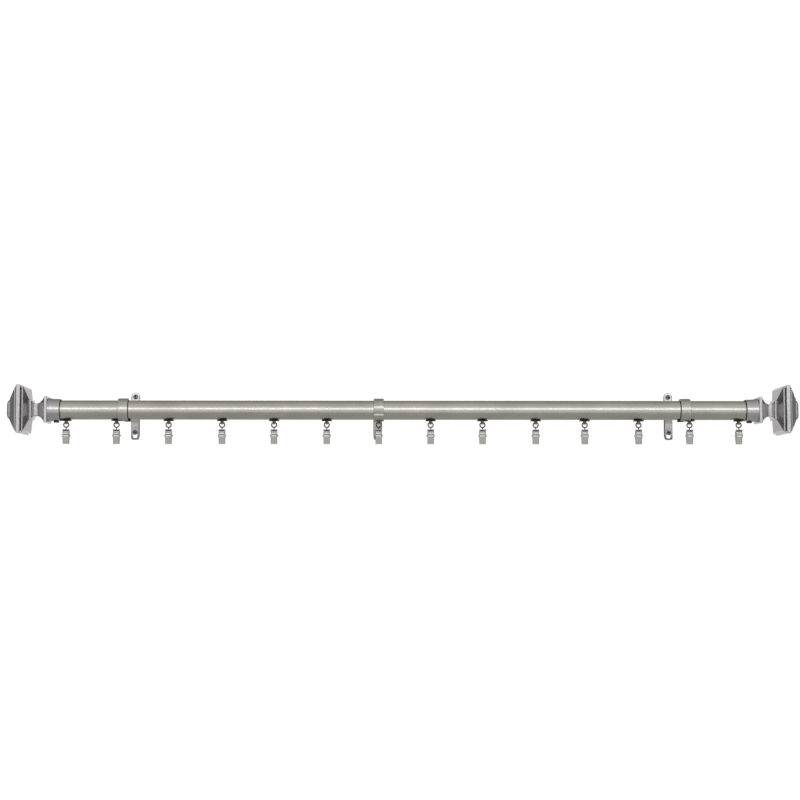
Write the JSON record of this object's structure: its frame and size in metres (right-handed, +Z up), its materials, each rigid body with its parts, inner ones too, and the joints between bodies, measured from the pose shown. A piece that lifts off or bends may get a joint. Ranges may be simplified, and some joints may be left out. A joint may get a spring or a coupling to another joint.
{
  "type": "curtain rod with brackets",
  "caption": "Slotted curtain pole with square stepped finials, wall brackets with open rings, and sliding gliders that each carry a hanging spring clip.",
  "frame": {"origin": "on the wall, behind the centre bracket's plate, at the height of the pole's axis", "axes": "+X along the pole to the viewer's right, +Y into the wall, +Z up"},
  "size_m": [1.1423, 0.1859, 0.085],
  "materials": {
    "pole": "satin nickel, brushed along its length",
    "casting": "satin nickel plate on a casting",
    "strip": "satin nickel plate on bent strip",
    "screw": "nickel plate with a darkened cross recess",
    "blackened": "blackened steel",
    "glider": "black acetal",
    "clip": "nickel-plated sheet and wire"
  },
  "bodies": {
    "rod": {"pole": "pole", "finial_left": "casting", "finial_right": "casting", "finial_screw_left": "blackened", "finial_screw_right": "blackened", "track_stop_left": "glider", "track_stop_right": "glider", "wall_plate_left": "strip", "wall_plate_centre": "strip", "wall_plate_right": "strip", "arm_left": "strip", "arm_centre": "strip", "arm_right": "strip", "foot_screw_left": "screw", "foot_screw_centre": "screw", "foot_screw_right": "screw", "ear_screw_left": "screw", "ear_screw_right": "screw"},
    "glider_01": {"glider_01": "glider"},
    "clip_01": {"clip_01": "clip"},
    "jaw_01": {"jaw_01": "clip"},
    "glider_02": {"glider_02": "glider"},
    "clip_02": {"clip_02": "clip"},
    "jaw_02": {"jaw_02": "clip"},
    "glider_03": {"glider_03": "glider"},
    "clip_03": {"clip_03": "clip"},
    "jaw_03": {"jaw_03": "clip"},
    "glider_04": {"glider_04": "glider"},
    "clip_04": {"clip_04": "clip"},
    "jaw_04": {"jaw_04": "clip"},
    "glider_05": {"glider_05": "glider"},
    "clip_05": {"clip_05": "clip"},
    "jaw_05": {"jaw_05": "clip"},
    "glider_06": {"glider_06": "glider"},
    "clip_06": {"clip_06": "clip"},
    "jaw_06": {"jaw_06": "clip"},
    "glider_07": {"glider_07": "glider"},
    "clip_07": {"clip_07": "clip"},
    "jaw_07": {"jaw_07": "clip"},
    "glider_08": {"glider_08": "glider"},
    "clip_08": {"clip_08": "clip"},
    "jaw_08": {"jaw_08": "clip"},
    "glider_09": {"glider_09": "glider"},
    "clip_09": {"clip_09": "clip"},
    "jaw_09": {"jaw_09": "clip"},
    "glider_10": {"glider_10": "glider"},
    "clip_10": {"clip_10": "clip"},
    "jaw_10": {"jaw_10": "clip"},
    "glider_11": {"glider_11": "glider"},
    "clip_11": {"clip_11": "clip"},
    "jaw_11": {"jaw_11": "clip"},
    "glider_12": {"glider_12": "glider"},
    "clip_12": {"clip_12": "clip"},
    "jaw_12": {"jaw_12": "clip"},
    "glider_13": {"glider_13": "glider"},
    "clip_13": {"clip_13": "clip"},
    "jaw_13": {"jaw_13": "clip"},
    "glider_14": {"glider_14": "glider"},
    "clip_14": {"clip_14": "clip"},
    "jaw_14": {"jaw_14": "clip"}
  },
  "joints": [
    {"name": "glide_01", "type": "slide", "parent": "rod", "child": "glider_01", "axis": [1, 0, 0], "range_m": [-0.0003, 0.0568]},
    {"name": "swing_01", "type": "hinge", "parent": "glider_01", "child": "clip_01", "pos_m": [-0.4504, -0.13, -0.0175], "axis": [1, 0, 0], "range_deg": [-45, 45]},
    {"name": "grip_01", "type": "hinge", "parent": "clip_01", "child": "jaw_01", "pos_m": [-0.4504, -0.13, -0.0367], "axis": [1, 0, 0], "range_deg": [0, 25], "stiffness_Nm_per_rad": 0.02, "springref_deg": -11.46},
    {"name": "glide_02", "type": "slide", "parent": "rod", "child": "glider_02", "axis": [1, 0, 0], "range_m": [-0.0568, 0.0041]},
    {"name": "swing_02", "type": "hinge", "parent": "glider_02", "child": "clip_02", "pos_m": [-0.378, -0.13, -0.0175], "axis": [1, 0, 0], "range_deg": [-45, 45]},
    {"name": "grip_02", "type": "hinge", "parent": "clip_02", "child": "jaw_02", "pos_m": [-0.378, -0.13, -0.0367], "axis": [1, 0, 0], "range_deg": [0, 25], "stiffness_Nm_per_rad": 0.02, "springref_deg": -11.46},
    {"name": "glide_03", "type": "slide", "parent": "rod", "child": "glider_03", "axis": [1, 0, 0], "range_m": [-0.0468, 0.0614]},
    {"name": "swing_03", "type": "hinge", "parent": "glider_03", "child": "clip_03", "pos_m": [-0.303, -0.13, -0.0175], "axis": [1, 0, 0], "range_deg": [-45, 45]},
    {"name": "grip_03", "type": "hinge", "parent": "clip_03", "child": "jaw_03", "pos_m": [-0.303, -0.13, -0.0367], "axis": [1, 0, 0], "range_deg": [0, 25], "stiffness_Nm_per_rad": 0.02, "springref_deg": -11.46},
    {"name": "glide_04", "type": "slide", "parent": "rod", "child": "glider_04", "axis": [1, 0, 0], "range_m": [-0.0614, 0.0594]},
    {"name": "swing_04", "type": "hinge", "parent": "glider_04", "child": "clip_04", "pos_m": [-0.226, -0.13, -0.0175], "axis": [1, 0, 0], "range_deg": [-45, 45]},
    {"name": "grip_04", "type": "hinge", "parent": "clip_04", "child": "jaw_04", "pos_m": [-0.226, -0.13, -0.0367], "axis": [1, 0, 0], "range_deg": [0, 25], "stiffness_Nm_per_rad": 0.02, "springref_deg": -11.46},
    {"name": "glide_05", "type": "slide", "parent": "rod", "child": "glider_05", "axis": [1, 0, 0], "range_m": [-0.0594, 0.0604]},
    {"name": "swing_05", "type": "hinge", "parent": "glider_05", "child": "clip_05", "pos_m": [-0.151, -0.13, -0.0175], "axis": [1, 0, 0], "range_deg": [-45, 45]},
    {"name": "grip_05", "type": "hinge", "parent": "clip_05", "child": "jaw_05", "pos_m": [-0.151, -0.13, -0.0367], "axis": [1, 0, 0], "range_deg": [0, 25], "stiffness_Nm_per_rad": 0.02, "springref_deg": -11.46},
    {"name": "glide_06", "type": "slide", "parent": "rod", "child": "glider_06", "axis": [1, 0, 0], "range_m": [-0.0604, 0.0594]},
    {"name": "swing_06", "type": "hinge", "parent": "glider_06", "child": "clip_06", "pos_m": [-0.075, -0.13, -0.0175], "axis": [1, 0, 0], "range_deg": [-45, 45]},
    {"name": "grip_06", "type": "hinge", "parent": "clip_06", "child": "jaw_06", "pos_m": [-0.075, -0.13, -0.0367], "axis": [1, 0, 0], "range_deg": [0, 25], "stiffness_Nm_per_rad": 0.02, "springref_deg": -11.46},
    {"name": "glide_07", "type": "slide", "parent": "rod", "child": "glider_07", "axis": [1, 0, 0], "range_m": [-0.0594, 0.0594]},
    {"name": "swing_07", "type": "hinge", "parent": "glider_07", "child": "clip_07", "pos_m": [0, -0.13, -0.0175], "axis": [1, 0, 0], "range_deg": [-45, 45]},
    {"name": "grip_07", "type": "hinge", "parent": "clip_07", "child": "jaw_07", "pos_m": [0, -0.13, -0.0367], "axis": [1, 0, 0], "range_deg": [0, 25], "stiffness_Nm_per_rad": 0.02, "springref_deg": -11.46},
    {"name": "glide_08", "type": "slide", "parent": "rod", "child": "glider_08", "axis": [1, 0, 0], "range_m": [-0.0594, 0.0594]},
    {"name": "swing_08", "type": "hinge", "parent": "glider_08", "child": "clip_08", "pos_m": [0.075, -0.13, -0.0175], "axis": [1, 0, 0], "range_deg": [-45, 45]},
    {"name": "grip_08", "type": "hinge", "parent": "clip_08", "child": "jaw_08", "pos_m": [0.075, -0.13, -0.0367], "axis": [1, 0, 0], "range_deg": [0, 25], "stiffness_Nm_per_rad": 0.02, "springref_deg": -11.46},
    {"name": "glide_09", "type": "slide", "parent": "rod", "child": "glider_09", "axis": [1, 0, 0], "range_m": [-0.0594, 0.0614]},
    {"name": "swing_09", "type": "hinge", "parent": "glider_09", "child": "clip_09", "pos_m": [0.15, -0.13, -0.0175], "axis": [1, 0, 0], "range_deg": [-45, 45]},
    {"name": "grip_09", "type": "hinge", "parent": "clip_09", "child": "jaw_09", "pos_m": [0.15, -0.13, -0.0367], "axis": [1, 0, 0], "range_deg": [0, 25], "stiffness_Nm_per_rad": 0.02, "springref_deg": -11.46},
    {"name": "glide_10", "type": "slide", "parent": "rod", "child": "glider_10", "axis": [1, 0, 0], "range_m": [-0.0614, 0.0554]},
    {"name": "swing_10", "type": "hinge", "parent": "glider_10", "child": "clip_10", "pos_m": [0.227, -0.13, -0.0175], "axis": [1, 0, 0], "range_deg": [-45, 45]},
    {"name": "grip_10", "type": "hinge", "parent": "clip_10", "child": "jaw_10", "pos_m": [0.227, -0.13, -0.0367], "axis": [1, 0, 0], "range_deg": [0, 25], "stiffness_Nm_per_rad": 0.02, "springref_deg": -11.46},
    {"name": "glide_11", "type": "slide", "parent": "rod", "child": "glider_11", "axis": [1, 0, 0], "range_m": [-0.0554, 0.0624]},
    {"name": "swing_11", "type": "hinge", "parent": "glider_11", "child": "clip_11", "pos_m": [0.298, -0.13, -0.0175], "axis": [1, 0, 0], "range_deg": [-45, 45]},
    {"name": "grip_11", "type": "hinge", "parent": "clip_11", "child": "jaw_11", "pos_m": [0.298, -0.13, -0.0367], "axis": [1, 0, 0], "range_deg": [0, 25], "stiffness_Nm_per_rad": 0.02, "springref_deg": -11.46},
    {"name": "glide_12", "type": "slide", "parent": "rod", "child": "glider_12", "axis": [1, 0, 0], "range_m": [-0.0624, 0.0488]},
    {"name": "swing_12", "type": "hinge", "parent": "glider_12", "child": "clip_12", "pos_m": [0.376, -0.13, -0.0175], "axis": [1, 0, 0], "range_deg": [-45, 45]},
    {"name": "grip_12", "type": "hinge", "parent": "clip_12", "child": "jaw_12", "pos_m": [0.376, -0.13, -0.0367], "axis": [1, 0, 0], "range_deg": [0, 25], "stiffness_Nm_per_rad": 0.02, "springref_deg": -11.46},
    {"name": "glide_13", "type": "slide", "parent": "rod", "child": "glider_13", "axis": [1, 0, 0], "range_m": [-0.0011, 0.0558]},
    {"name": "swing_13", "type": "hinge", "parent": "glider_13", "child": "clip_13", "pos_m": [0.45, -0.13, -0.0175], "axis": [1, 0, 0], "range_deg": [-45, 45]},
    {"name": "grip_13", "type": "hinge", "parent": "clip_13", "child": "jaw_13", "pos_m": [0.45, -0.13, -0.0367], "axis": [1, 0, 0], "range_deg": [0, 25], "stiffness_Nm_per_rad": 0.02, "springref_deg": -11.46},
    {"name": "glide_14", "type": "slide", "parent": "rod", "child": "glider_14", "axis": [1, 0, 0], "range_m": [-0.0558, 0.0016]},
    {"name": "swing_14", "type": "hinge", "parent": "glider_14", "child": "clip_14", "pos_m": [0.5214, -0.13, -0.0175], "axis": [1, 0, 0], "range_deg": [-45, 45]},
    {"name": "grip_14", "type": "hinge", "parent": "clip_14", "child": "jaw_14", "pos_m": [0.5214, -0.13, -0.0367], "axis": [1, 0, 0], "range_deg": [0, 25], "stiffness_Nm_per_rad": 0.02, "springref_deg": -11.46}
  ]
}
